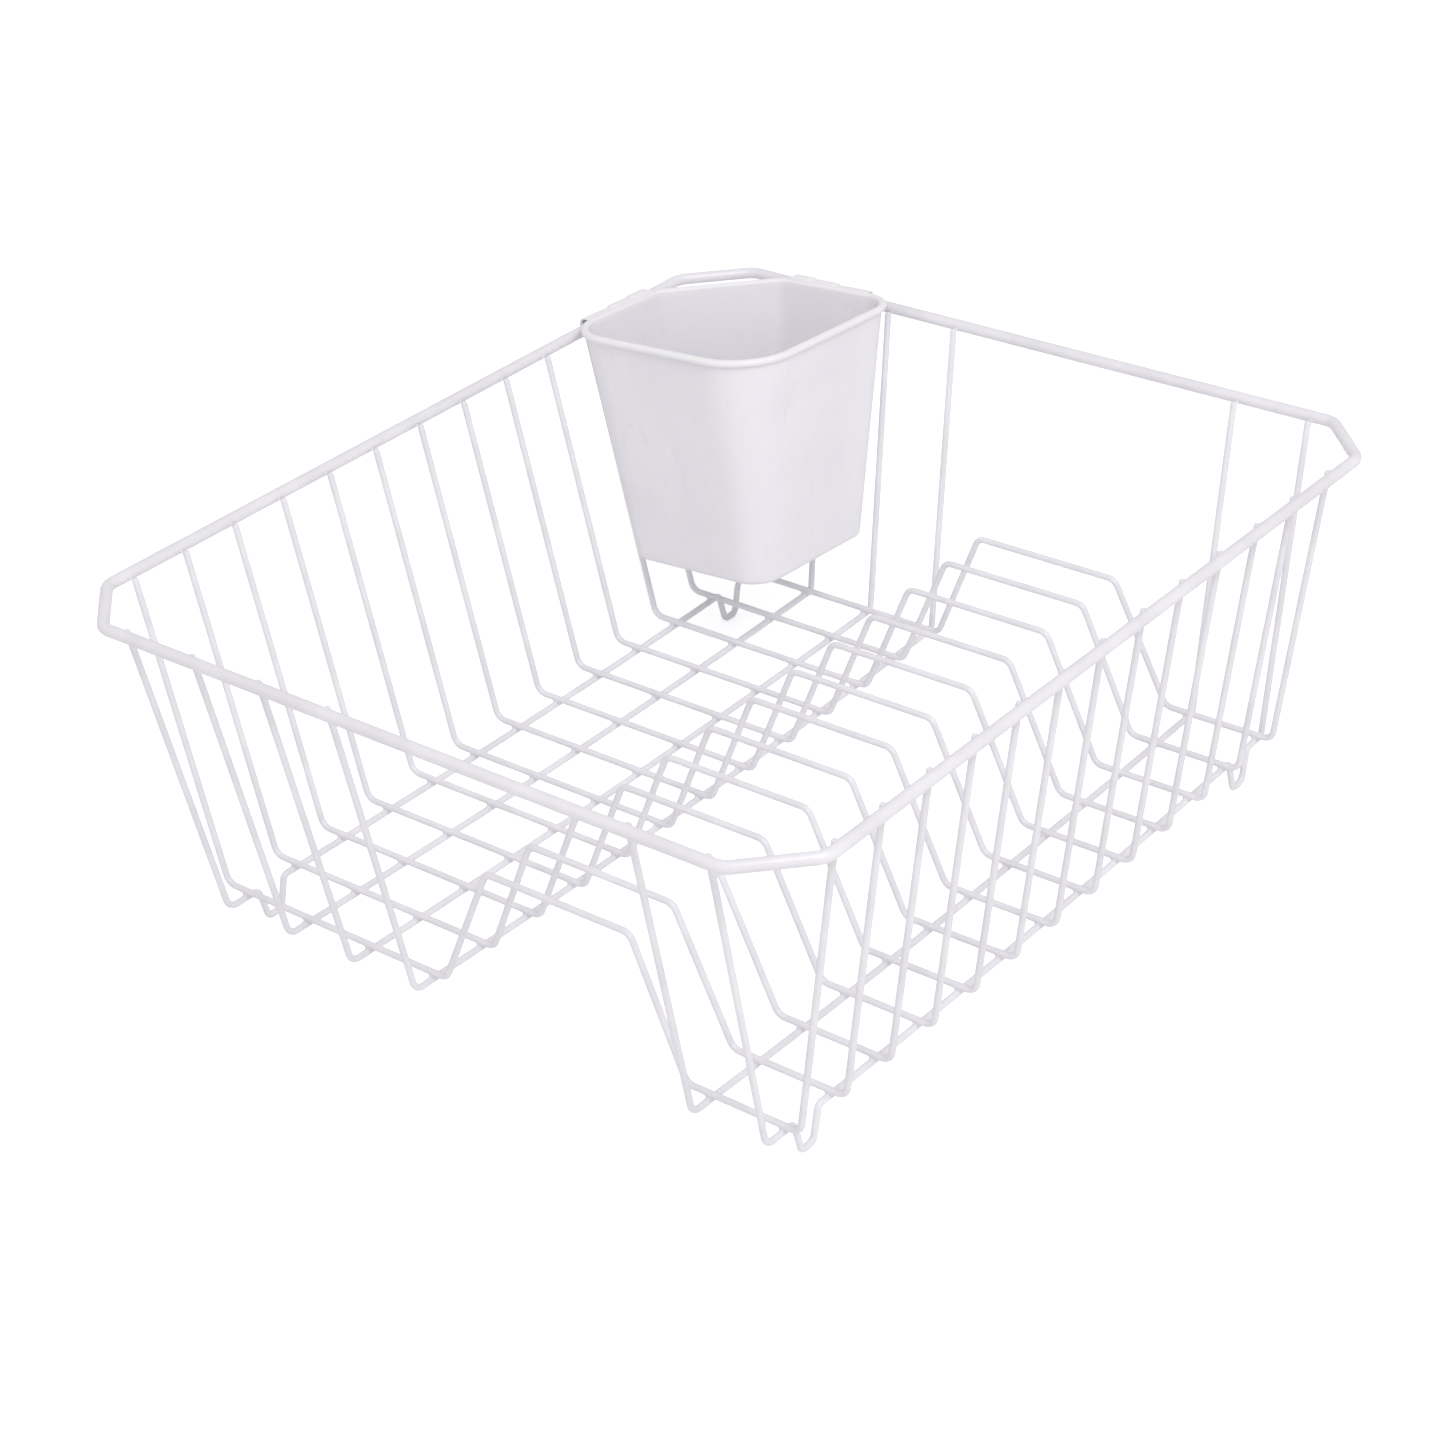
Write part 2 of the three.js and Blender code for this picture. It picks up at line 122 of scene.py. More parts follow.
class DISHRACK_PG_cup(bpy.types.PropertyGroup):
    """Sizes of the cutlery cup."""

    top: length("Top", "Outside width of the cup's mouth", 0.093)
    bottom: length("Bottom", "Outside width of the cup's base", 0.069)
    depth: length("Depth", "Height of the cup", 0.0965)
    wall: length("Wall", "Thickness of the cup's wall", 0.0018)
    base_in: length("Base in", "How far the base sits towards the rack's middle", 0.003)
    bend_top: corners("Top bends", "Bend radius of each corner at the mouth", (8, 17, 22, 13))
    bend_base: corners("Base bends", "Bend radius of each corner at the base", (7, 9, 11, 7))
    cut_top: corners("Top cuts", "What a corner's flat cuts off, mouth", (36, 10.6, 13.6, 8.3))
    cut_base: corners("Base cuts", "What a corner's flat cuts off, base", (25, 6, 7.2, 4.4))
    base_round: length("Base rounding", "Radius between wall and base", 0.0025)
    base_recess: length("Base recess", "How far the underside is raised inside its ring", 0.0007)
    ring_in: length("Ring", "From the outside of the base to its low ring", 0.006)
    ring_slope: length("Ring slope", "Width of the slope from recess to ring", 0.001)
    floor_flat: length("Floor flat", "From the outside of the base to the floor's flat", 0.012)
    middle_hole: length("Middle", "Reach of the first ring about the axis", 0.002)
    lip_out: length("Lip", "How far the lip stands out from the wall", 0.0016)
    lip_height: length("Lip height", "Height of the rolled lip", 0.0025)
    lip_crown: length("Lip crown", "Height of the lip's round top", 0.0013)
    lip_fillet: length("Lip fillet", "Radius where the wall meets the lip", 0.0006)
    lip_edge: length("Lip edge", "Radius of the lip's lower edge", 0.0004)
    set_in: length("Set in", "Space between the rim's line and the cup", 0.0047)
    rest_gap: length("Rest gap", "Space between the flange and the rim", 0.0003)
    flange: length("Flange", "Thickness of the flange", 0.0008)
    hook_drop: length("Hook drop", "How far the hook hangs behind the rim", 0.005)
    hook: length("Hook", "Thickness of the hook", 0.0008)
    hook_round: length("Hook rounding", "Radius of the hook's outer edge", 0.0028)
    hook_reach: length("Hook reach", "From the cup's axis to the hook", 0.05413932)
    flange_from: length("Flange from", "Where the flange starts along a side", -0.029)
    flange_to: length("Flange to", "Where the flange ends along a side", 0.0085)
    step_one: length("First step", "Where the flange first steps up", -0.013)
    step_two: length("Second step", "Where it steps up again", -0.001)
    lean: amount(
        "Lean", "How far the cup leans with the walls behind it", np.radians(5.1528), subtype="ANGLE"
    )


def colour(name, description, default):
    """A linear colour."""
    return vector(name, description, default, subtype="COLOR", min=0, max=1)


class DISHRACK_PG_finish(bpy.types.PropertyGroup):
    """Colours and finishes."""

    coating: colour("Coating", "Colour of the wire's plastic coating", (0.825, 0.805, 0.85))
    coating_thin: colour("Thin coating", "Where the coating is thinner", (0.765, 0.745, 0.79))
    weld: colour("Weld", "Where coating has pooled in a weld", (0.825, 0.805, 0.85))
    cup: colour("Cup", "Colour of the moulded cup", (0.86, 0.84, 0.885))
    cup_mark: colour("Cup marks", "Colour of the faint scuffs", (0.76, 0.745, 0.79))
    lip: colour("Lip", "Colour of the cup's lip", (0.88, 0.86, 0.89))
    coating_rough: amount("Coating roughness", "Gloss of the coating", 0.34)
    cup_rough: amount("Cup roughness", "Gloss of the moulded plastic", 0.5)


class DISHRACK_PG_stage(bpy.types.PropertyGroup):
    """Camera, lights and floor."""

    floor: colour("Floor", "Colour of the floor", (0.95, 0.95, 0.95))
    eye: spot("Eye", "Where the camera stands", (-0.80686, -0.67036, 0.6669))
    forward: vector(
        "Forward", "Where the camera looks", (0.65807, 0.55831, -0.50521), subtype="DIRECTION"
    )
    above: vector("Above", "Up in the picture", (0.42488, 0.2786, 0.86131), subtype="DIRECTION")
    lens: amount("Lens", "Focal length in millimetres", 83.05)
    key_place: spot("Key place", "Where the main light stands", (-0.55, -1.25, 1.8))
    side_place: spot("Side place", "Where the side light stands", (-1.6, 0.9, 1.3))
    key_size: length("Key size", "Side of the main light's square", 1.1)
    side_size: length("Side size", "Side of the side light's square", 1.4)
    key: amount("Key", "Strength of the main light in watts", 20)
    side: amount("Side", "Strength of the side light in watts", 2.6)
    sky: amount("Sky", "Strength of the even light", 0.65)
    backdrop: amount("Backdrop", "How much brighter the floor is drawn than it is lit", 0.40)


class DISHRACK_PG_detail(bpy.types.PropertyGroup):
    """How finely the surfaces are drawn."""

    sides: IntProperty(name="Sides", description="Points round a wire", default=20, min=8)
    bend: IntProperty(name="Bend", description="Rings along one bend", default=10, min=3)


def settings():
    """All settings of the scene."""
    return bpy.context.scene.dish_rack


# ------------------------------ arrays


def unit(vectors):
    """Each vector divided by its length; a vector of no length stays as it is."""
    size = np.linalg.norm(vectors, axis=-1, keepdims=True)
    return vectors / np.where(size < 1e-12, 1, size)


def arcs(before, corner, after, radii, samples):
    """Rounds corners with arcs: start = corner - into * setback, and along the arc the point is
    start + into * r sin(a) + inward * r (1 - cos(a)), with setback = r tan(turn / 2), at most half
    a stretch. Returns points and tangents, each (corner, sample, xyz)."""
    into = unit(corner - before)
    out = unit(after - corner)
    turn = np.arccos(np.clip((into * out).sum(-1), -1, 1)).clip(1e-5)
    room = np.minimum(
        np.linalg.norm(corner - before, axis=-1), np.linalg.norm(after - corner, axis=-1)
    )
    setback = np.minimum(radii * np.tan(turn / 2), 0.5 * room)
    radius = setback / np.tan(turn / 2)
    inward = unit(out - into * (into * out).sum(-1, keepdims=True))
    angle = turn[:, None] * np.linspace(0, 1, samples)
    start = corner - into * setback[:, None]
    along = (radius[:, None] * np.sin(angle))[..., None] * into[:, None]
    across = (radius[:, None] * (1 - np.cos(angle)))[..., None] * inward[:, None]
    points = start[:, None] + along + across
    tangents = np.cos(angle)[..., None] * into[:, None] + np.sin(angle)[..., None] * inward[:, None]
    return points, tangents


def bent_line(corners, radii, samples):
    """The centre line of an open wire: its first corner, an arc at each inner corner, its last."""
    points, tangents = arcs(corners[:-2], corners[1:-1], corners[2:], radii, samples)
    first = unit(corners[1] - corners[0])
    last = unit(corners[-1] - corners[-2])
    line = np.concatenate([corners[:1], points.reshape(-1, 3), corners[-1:]])
    heading = np.concatenate([first[None], tangents.reshape(-1, 3), last[None]])
    return line, heading


def tube(line, heading, side, radii, sides):
    """A round section carried along a line: ring point = centre + radius * (cos(a) * normal +
    sin(a) * binormal), where the normal is the side vector made square to the heading."""
    normal = unit(side - heading * (heading @ side)[:, None])
    binormal = np.cross(heading, normal)
    angle = np.linspace(0, 2 * np.pi, sides, endpoint=False)
    spoke = (
        np.cos(angle)[None, :, None] * normal[:, None]
        + np.sin(angle)[None, :, None] * binormal[:, None]
    )
    return line[:, None] + radii[:, None, None] * spoke


def domed(line, heading, radius, depth):
    """Adds a dome to both ends of a wire: at angle b the ring is depth * (1 - sin(b)) from the end
    and its radius is radius * cos(b). Returns line, heading and the radius of each ring."""
    lift = np.radians([82, 62, 42, 21, 0])
    inset = depth * (1 - np.sin(lift))
    rise = radius * np.cos(lift)
    start = line[0] + heading[0] * inset[:, None]
    end = line[-1] - heading[-1] * inset[::-1, None]
    points = np.concatenate([start, line[1:-1], end])
    headings = np.concatenate(
        [np.repeat(heading[:1], 5, 0), heading[1:-1], np.repeat(heading[-1:], 5, 0)]
    )
    radii = np.concatenate([rise, np.full(len(line) - 2, radius), rise[::-1]])
    return points, headings, radii


def shell_faces(rings, around, wrap):
    """Corner numbers of the quads between neighbouring rings, and of the fans that close the two
    ends on one middle point each; a wrapped shell joins its last ring to its first instead."""
    ring = np.arange(rings if wrap else rings - 1)[:, None]
    place = np.arange(around)[None]
    beside = (place + 1) % around
    above = (ring + 1) % rings
    quads = np.stack(
        [ring * around + place, ring * around + beside, above * around + beside,
         above * around + place], -1,
    ).reshape(-1, 4)
    if wrap:
        return quads, np.zeros((0, 3), int)
    place, beside = place[0], beside[0]
    first = np.stack([np.full(around, rings * around), beside, place], -1)
    top = (rings - 1) * around
    last = np.stack([np.full(around, rings * around + 1), top + place, top + beside], -1)
    return quads, np.concatenate([first, last])


def shell(rings, wrap=False):
    """Points, quads and triangles of one closed surface through rings, (ring, place, xyz)."""
    count, around = rings.shape[:2]
    quads, triangles = shell_faces(count, around, wrap)
    points = rings.reshape(-1, 3)
    if not wrap:
        points = np.concatenate([points, rings[0].mean(0)[None], rings[-1].mean(0)[None]])
    return points, quads, triangles


def together(shells):
    """Several closed surfaces as one: each one's corner numbers are moved past those before it."""
    starts = np.cumsum([0] + [len(points) for points, _, _ in shells[:-1]])
    points = np.concatenate([part[0] for part in shells])
    quads = np.concatenate([part[1] + start for part, start in zip(shells, starts)])
    triangles = np.concatenate([part[2] + start for part, start in zip(shells, starts)])
    return points, quads, triangles


def piece(name, surface, body, nodes, slot, *materials):
    """A smooth mesh object from points, quads and triangles, which rides on a body, stands for CAD
    nodes and takes its finish from the given materials; the slot argument is not used."""
    points, quads, triangles = surface
    mesh = bpy.data.meshes.new(name)
    loops = np.concatenate([quads.ravel(), triangles.ravel()]).astype(np.int32)
    starts = np.concatenate(
        [4 * np.arange(len(quads)), 4 * len(quads) + 3 * np.arange(len(triangles))]
    )
    mesh.vertices.add(len(points))
    mesh.vertices.foreach_set("co", points.astype(np.float32).ravel())
    mesh.loops.add(len(loops))
    mesh.loops.foreach_set("vertex_index", loops)
    mesh.polygons.add(len(starts))
    mesh.polygons.foreach_set("loop_start", starts.astype(np.int32))
    mesh.polygons.foreach_set("use_smooth", np.ones(len(starts), bool))
    mesh.update(calc_edges=True)
    if mesh.validate():
        raise ValueError(f"{name} has faces that don't join up")
    made = bpy.data.objects.new(name, mesh)
    bpy.context.scene.collection.objects.link(made)
    for material in materials:
        mesh.materials.append(material)
    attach(made, body)
    if nodes:
        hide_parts(*nodes)
    return made


# ------------------------------ places from the frame


def rim_lines():
    """Where the rim's centre line runs: x of the near and far side, y of the plate and open side,
    and its height."""
    wire = settings().wire
    low, high = (np.array(corner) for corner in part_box("rim_wire"))
    half = wire.rim_wire / 2
    proud = wire.bead_proud
    near_x, far_x = low[0] + half, high[0] - half
    return near_x, far_x, low[1] + half + proud, high[1] - half, (low[2] + high[2]) / 2


def plate_places():
    """x and floor height of each plate wire's centre line, and how far its hump leans along X."""
    wire = settings().wire
    boxes = np.array([[list(corner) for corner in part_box(name)] for name in PLATE_WIRES])
    x = boxes[:, :, 0].mean(1)
    x[0] = boxes[0, 0, 0] + wire.wire / 2
    x[-1] = boxes[-1, 1, 0] - wire.wire / 2
    lean = np.zeros(len(x))
    lean[[0, -1]] = wire.end_hump_lean, -wire.end_hump_lean
    return x, boxes[:, 0, 2] + wire.wire / 2, lean


def wall_top(run, low):
    """Where a wall wire ends, level with the rim's line: it leans by atan((run - clear) / rise), so
    its end is clear / cos(lean) inside that line."""
    wire = settings().wire
    height = rim_lines()[4]
    clear = (wire.rim_wire + wire.wire) / 2 + wire.weld_gap
    lean = np.arctan2(run - clear, height - low)
    return clear / np.cos(lean), height


def plate_corners():
    """Corners of every plate wire, (wire, corner, xyz), from the open wall over the hump to the
    plate wall."""
    wire = settings().wire
    _, _, plate_y, open_y, _ = rim_lines()
    x, z, lean = plate_places()
    open_in, top = wall_top(wire.open_run, z)
    plate_in, _ = wall_top(wire.plate_run, z)
    ones = np.ones(len(x))
    hump_low = plate_y + wire.plate_run + wire.plate_bay
    hump_high = hump_low + wire.hump_top + 2 * wire.hump_leg_run
    up = z + wire.hump_height
    y_line = [
        open_y - open_in,
        (open_y - wire.open_run) * ones,
        hump_high * ones,
        (hump_high - wire.hump_leg_run) * ones,
        (hump_low + wire.hump_leg_run) * ones,
        hump_low * ones,
        (plate_y + wire.plate_run) * ones,
        plate_y + plate_in,
    ]
    x_line = [x, x, x, x + lean, x + lean, x, x, x]
    z_line = [top * ones, z, z, up, up, z, z, top * ones]
    return np.stack([np.stack(line, 1) for line in (x_line, y_line, z_line)], -1)


def long_corners(name):
    """Corners and bend radii of one long wire: down the near wall, along under the plate wires, with
    a foot loop in its first and last space if its box reaches the ground, and up the far wall."""
    wire = settings().wire
    near_x, far_x, _, _, _ = rim_lines()
    x, z, _ = plate_places()
    z = z - wire.wire - wire.weld_gap
    low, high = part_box(name)
    y = low[1] + wire.wire / 2
    top_y = high[1] - wire.wire / 2
    near_in, top = wall_top(wire.near_run, z[0])
    far_in, _ = wall_top(wire.far_run, z[-1])
    floor = np.stack([x, np.full(len(x), y), z], -1)
    no_kink = 10.0
    smooth = np.full(len(x), no_kink)
    if low[2] < wire.wire:
        half = np.array([-wire.foot_top, -wire.foot_bottom, wire.foot_bottom, wire.foot_top]) / 2
        for space in (len(x) - 2, 0):
            middle = (x[space] + x[space + 1]) / 2
            level = (z[space] + z[space + 1]) / 2
            down = np.array([level, wire.wire / 2, wire.wire / 2, level])
            loop = np.stack([middle + half, np.full(4, y), down], -1)
            floor = np.insert(floor, space + 1, loop, axis=0)
            smooth = np.insert(smooth, space + 1, np.full(4, wire.foot_bend))
    walls = np.array([
        [near_x + near_in, top_y, top], [near_x + wire.near_run, y, z[0]],
        [far_x - wire.far_run, y, z[-1]], [far_x - far_in, top_y, top],
    ])
    corners = np.concatenate([walls[:2], floor, walls[2:]])
    radii = np.concatenate([[wire.wire_bend], smooth, [wire.wire_bend]])
    return corners, radii


def dress_wire(name, corners, radii, side):
    """One round wire with domed ends along a bent line, in place of the CAD wire of that name."""
    wire = settings().wire
    detail = settings().detail
    line, heading = bent_line(corners, radii, detail.bend)
    line, heading, ring = domed(line, heading, wire.wire / 2, wire.end_round)
    surface = shell(tube(line, heading, np.array(side, float), ring, detail.sides))
    piece(f"smooth_{name}", surface, RACK, [name], "coated_wire", wire_coating())


# ------------------------------ welds


def capsule_distance(points, start, end, radius):
    """Distance from points to a round-ended rod: to the nearest place on its line, less its radius."""
    along = end - start
    reach = ((points - start) * along).sum(-1) / (along * along).sum(-1)
    nearest = start + reach.clip(0, 1)[..., None] * along
    return np.linalg.norm(points - nearest, axis=-1) - radius


def blended(first, second, width):
    """Two distances run together: where they differ by less than the width, the smaller one is
    lowered by width * (1 - |difference| / width)^2 / 4."""
    close = (1 - np.abs(first - second) / width).clip(0)
    return np.minimum(first, second) - width * close * close / 4


def weld_surfaces(rod_a, rod_b, reach):
    """Fillets at crossings of rods. Each rod is (starts, ends, radius). A fillet is drawn about the
    middle of a crossing: in each direction its surface is where the blended distance to both rods is
    nothing, found by halving, and it stops at a given reach, which is inside the rods. The rods are
    taken a little thin, so that a fillet's edge is sunk in them."""
    width = settings().wire.fillet
    sunk = 2e-5
    halvings = 18
    middle, pole = crossing(rod_a, rod_b)
    across = unit(rod_a[1] - rod_a[0])
    across = unit(across - pole * (across * pole).sum(-1, keepdims=True))
    third = np.cross(pole, across)
    clear_of_poles = 12
    tilt = np.radians(np.linspace(clear_of_poles, 180 - clear_of_poles, 13))[:, None]
    turn = np.linspace(0, 2 * np.pi, 24, endpoint=False)[None]
    out = np.sin(tilt)
    local = np.stack([out * np.cos(turn), out * np.sin(turn), np.cos(tilt) + 0 * turn], -1)
    direction = local @ np.stack([across, third, pole], 1)[:, None]

    def place(distance):
        return middle[:, None, None] + distance[..., None] * direction

    def blend(distance):
        points = place(distance)
        rods = [
            capsule_distance(points, start[:, None, None], end[:, None, None], radius - sunk)
            for start, end, radius in (rod_a, rod_b)
        ]
        return blended(*rods, width)

    inner = np.zeros(direction.shape[:3])
    outer = np.full(direction.shape[:3], reach)
    for _ in range(halvings):
        half = (inner + outer) / 2
        inside = blend(half) < 0
        inner = np.where(inside, half, inner)
        outer = np.where(inside, outer, half)
    rings = place(inner)[:, ::-1]
    return together([shell(ring) for ring in rings])


def crossing(rod_a, rod_b):
    """Where two rods come nearest: the place between their surfaces, and the direction from the
    first rod to the second, from the usual formula for the nearest points of two lines."""
    (start_a, end_a, radius_a), (start_b, end_b, radius_b) = rod_a, rod_b
    a = end_a - start_a
    b = end_b - start_b
    gap = start_a - start_b
    aa, ab, bb = (a * a).sum(-1), (a * b).sum(-1), (b * b).sum(-1)
    ag, bg = (a * gap).sum(-1), (b * gap).sum(-1)
    scale = aa * bb - ab * ab
    at_a = ((ab * bg - bb * ag) / scale).clip(0, 1)[:, None]
    at_b = ((aa * bg - ab * ag) / scale).clip(0, 1)[:, None]
    near_a = start_a + at_a * a
    near_b = start_b + at_b * b
    toward = unit(near_b - near_a)
    middle = (near_a + toward * radius_a + near_b - toward * radius_b) / 2
    return middle, toward


# ------------------------------ cup


def cup_half(z):
    """Half of the cup's outside width at height z below its lip: a straight taper."""
    cup = settings().cup
    return cup.top / 2 + (cup.bottom - cup.top) / 2 * (-z / cup.depth)


def quarter(middle, size, start, end, samples):
    """Places on an arc: middle + size * (cos(a), sin(a)), with angles in degrees and the size one
    radius, or two for an ellipse."""
    angle = np.radians(np.linspace(start, end, samples))
    return np.array(middle) + np.array(size) * np.stack([np.cos(angle), np.sin(angle)], -1)


def cup_profile():
    """The cup's section from the middle of its underside round to the middle of its floor, as rows
    of (reach from the axis, height): a recessed base on a low ring, a rounded edge, a straight
    tapering wall, a rolled lip of half an ellipse, and the inner wall and floor."""
    cup = settings().cup
    low = -cup.depth
    base = cup_half(low)
    inside = low + cup.wall
    turn = cup.base_round
    fillet, rim = cup.lip_fillet, cup.lip_edge
    raised = low + cup.base_recess
    ring = base - cup.ring_in
    under = np.array([[cup.middle_hole, raised], [ring - cup.ring_slope, raised], [ring, low]])
    edge = quarter((cup_half(low + turn) - turn, low + turn), turn, -90, 0, 8)
    heights = np.linspace(low + turn, -cup.lip_height - fillet, 14)[1:]
    wall = np.stack([cup_half(heights), heights], -1)
    foot = cup_half(-cup.lip_height)
    under_lip = quarter((foot + fillet, -cup.lip_height - fillet), fillet, 180, 90, 5)
    lip_edge = quarter((foot + cup.lip_out - rim, rim - cup.lip_height), rim, -90, 0, 4)
    half = (cup.lip_out + cup.wall) / 2
    centre = cup_half(0) + cup.lip_out - half
    lip = quarter((centre, -cup.lip_crown), (half, cup.lip_crown), 0, 180, 13)
    down = np.linspace(-cup.lip_crown, inside + turn, 14)[1:-1]
    inner = np.stack([cup_half(down) - cup.wall, down], -1)
    start = cup_half(inside + turn) - cup.wall - turn
    inner_edge = quarter((start, inside + turn), turn, 0, -90, 8)
    floor = np.array([[base - cup.floor_flat, inside], [cup.middle_hole, inside]])
    return np.concatenate(
        [under, edge, wall[:-1], under_lip, lip_edge, lip, inner, inner_edge, floor]
    )


def between(start, end, samples):
    """Places on straight lines, without their ends: start + t * (end - start)."""
    share = np.linspace(0, 1, samples + 2)[1:-1, None]
    return start[:, None] + share * (end - start)[:, None]


def cup_corner(number, reach, z):
    """One corner of each row of the profile: an eighth turn about (across, along), a flat, and an
    eighth turn about (along, across). Both radius and cut run straight from mouth to base, and
    shrink by the distance in from the outside."""
    cup = settings().cup
    share = -z / cup.depth
    bend = 0.001 * (cup.bend_top[number] * (1 - share) + cup.bend_base[number] * share)
    cut = 0.001 * (cup.cut_top[number] * (1 - share) + cup.cut_base[number] * share)
    inward = reach - cup_half(z)
    radius = (bend + inward).clip(0.05 * reach, reach)
    setback = (cut + bend * np.tan(np.pi / 8) + inward).clip(radius, reach)
    across, along = reach - radius, reach - setback
    angle = np.radians(np.linspace(0, 45, 7))
    first = np.stack(
        [across + radius * np.cos(angle), along + radius * np.sin(angle)], -1
    )
    second = first[:, ::-1, ::-1]
    return np.concatenate([first, between(first[:, -1], second[:, 0], 3), second], 1)


def quarter_turned(points, quarters):
    """Flat places turned by right angles: (x, y) to (-y, x) each time."""
    for _ in range(quarters):
        points = np.stack([-points[..., 1], points[..., 0]], -1)
    return points


def cup_surface():
    """The cup's body: each row of the profile goes once round a square with four shaped corners,
    and moves towards the rack's middle in proportion to its depth."""
    cup = settings().cup
    profile = cup_profile()
    reach, z = profile[:, :1], profile[:, 1:]
    turned = [quarter_turned(cup_corner(number, reach, z), number) for number in range(4)]
    round_trip = []
    for number in range(4):
        start, end = turned[number][:, -1], turned[(number + 1) % 4][:, 0]
        round_trip += [turned[number], between(start, end, 9)]
    flat = np.concatenate(round_trip, 1) + (cup.base_in * z / cup.depth)[..., None]
    rings = np.concatenate([flat, z[..., None] + np.zeros_like(flat[..., :1])], -1)
    points, quads, triangles = shell(rings)
    return placed(points), quads, triangles


def placed(points):
    """Points of the cup in the rack: leaned about a level line across the corner, by the rotation
    p cos(a) + (k x p) sin(a) + k (k . p) (1 - cos(a)), and moved to hang on the rim."""
    cup = settings().cup
    wire = settings().wire
    _, far_x, _, open_y, height = rim_lines()
    axis = unit(np.array([-1.0, 1.0, 0.0]))
    sine, cosine = np.sin(cup.lean), np.cos(cup.lean)

    def leaned(p):
        along = (p @ axis)[..., None] * axis
        return p * cosine + np.cross(axis, p) * sine + along * (1 - cosine)

    from_rim = cup.top / 2 + cup.set_in
    touch = leaned(np.array([from_rim + wire.rim_wire / 2, cup.flange_to, -cup.flange]))
    rise = height + wire.rim_wire / 2 + cup.rest_gap - touch[2]
    return leaned(points) + np.array([far_x - from_rim, open_y - from_rim, rise])


def smooth_step(place, start, end):
    """A soft step from 0 to 1: t * t * (3 - 2 t), with t running from start to end."""
    t = ((place - start) / (end - start)).clip(0, 1)
    return t * t * (3 - 2 * t)


def hook_section():
    """The flange's section as (reach, height), from its root under the shelf, round the hook's inner
    bend and tip, and back over the outer bend."""
    cup = settings().cup
    root = cup.top / 2 - cup.wall / 2
    outer = cup.hook_reach + cup.hook
    inside = cup.hook_round - cup.hook
    tip = 0.0003
    inner_bend = quarter((cup.hook_reach - inside, -cup.flange - inside), inside, 90, 0, 8)
    outer_bend = quarter((outer - cup.hook_round, -cup.hook_round), cup.hook_round, 0, 90, 8)
    low = -cup.hook_drop
    under = [[cup.hook_reach, low + tip], [cup.hook_reach + tip, low]]
    over = [[outer - tip, low], [outer, low + tip]]
    return np.concatenate([[[root, -cup.flange]], inner_bend, under, over, outer_bend, [[root, 0]]])


def flange_surface():
    """The flange and hook on the cup's +X side: the section is carried along the side, goes up by two
    soft steps that make good the fall sin(lean) / sqrt(2) of the leaning side, and its two ends are
    drawn in to round them."""
    cup = settings().cup
    start, end = cup.flange_from, cup.flange_to
    section = hook_section()
    close = np.array([0, 0.00008, 0.0003])
    drawn_in = np.array([0.00025, 0.00008, 0])
    margin = 0.001
    plain = np.linspace(start + margin, end - margin, 70)
    stations = np.concatenate([start + close, plain, end - close[::-1]])
    shrink = np.concatenate([drawn_in, 0 * plain, drawn_in[::-1]])
    fall = np.sin(cup.lean) / np.sqrt(2)
    ramp = cup.flange
    heights = fall * (np.array([cup.step_one + ramp, cup.step_two + ramp, end]) - end)
    first = smooth_step(stations, cup.step_one, cup.step_one + ramp) * (heights[1] - heights[0])
    second = smooth_step(stations, cup.step_two, cup.step_two + ramp) * (heights[2] - heights[1])
    rise = heights[0] + first + second
    along = np.roll(section, -1, 0) - np.roll(section, 1, 0)
    inward = unit(np.stack([-along[:, 1], along[:, 0]], -1))
    shape = section[None] + inward[None] * shrink[:, None, None]
    across = shape[..., 0]
    height = shape[..., 1] + rise[:, None]
    return np.stack([across, stations[:, None] + np.zeros_like(across), height], -1)


def capped(rings):
    """Quads between rings, with each flat end closed by a strip of quads across it."""
    count, around = rings.shape[:2]
    quads, _ = shell_faces(count, around, False)
    half = around // 2
    low = np.arange(half - 1)
    first = np.stack([low, around - 1 - low, around - 2 - low, low + 1], -1)
    last = first[:, ::-1] + (count - 1) * around
    return rings.reshape(-1, 3), np.concatenate([quads, first, last]), np.zeros((0, 3), int)


# ------------------------------ materials


def group_tree(name, inputs, outputs):
    """A new shader node group with named value inputs, given as name: default, and outputs."""
    tree = bpy.data.node_groups.new(name, "ShaderNodeTree")
    tree.interface.new_socket("Vector", in_out="INPUT", socket_type="NodeSocketVector")
    for label, default in inputs.items():
        socket = tree.interface.new_socket(label, in_out="INPUT", socket_type="NodeSocketFloat")
        socket.default_value = default
    for label in outputs:
        tree.interface.new_socket(label, in_out="OUTPUT", socket_type="NodeSocketFloat")
    entry = tree.nodes.new("NodeGroupInput")
    leave = tree.nodes.new("NodeGroupOutput")
    return tree, entry, leave


def feed(tree, node, values):
    """Sets inputs of a node, given as label or number: value, each a socket to link or a constant."""
    for label, value in values.items():
        if isinstance(value, bpy.types.NodeSocket):
            tree.links.new(value, node.inputs[label])
        else:
            node.inputs[label].default_value = value


def math_node(tree, operation, *values):
    """A Math node of values, each a socket or a number."""
    node = tree.nodes.new("ShaderNodeMath")
    node.operation = operation
    feed(tree, node, dict(enumerate(values)))
    return node.outputs[0]


def noise_node(tree, vector, scale, detail, distortion=0.0):
    """A Noise texture read at a vector; the scale is a socket or a number."""
    node = tree.nodes.new("ShaderNodeTexNoise")
    values = {"Vector": vector, "Scale": scale, "Detail": detail, "Distortion": distortion}
    feed(tree, node, values)
    return node.outputs["Fac"]


def range_node(tree, value, low, high):
    """A value spread from low..high to 0..1 and held inside it."""
    node = tree.nodes.new("ShaderNodeMapRange")
    node.interpolation_type = "SMOOTHSTEP"
    feed(tree, node, {"Value": value, "From Min": low, "From Max": high})
    return node.outputs["Result"]


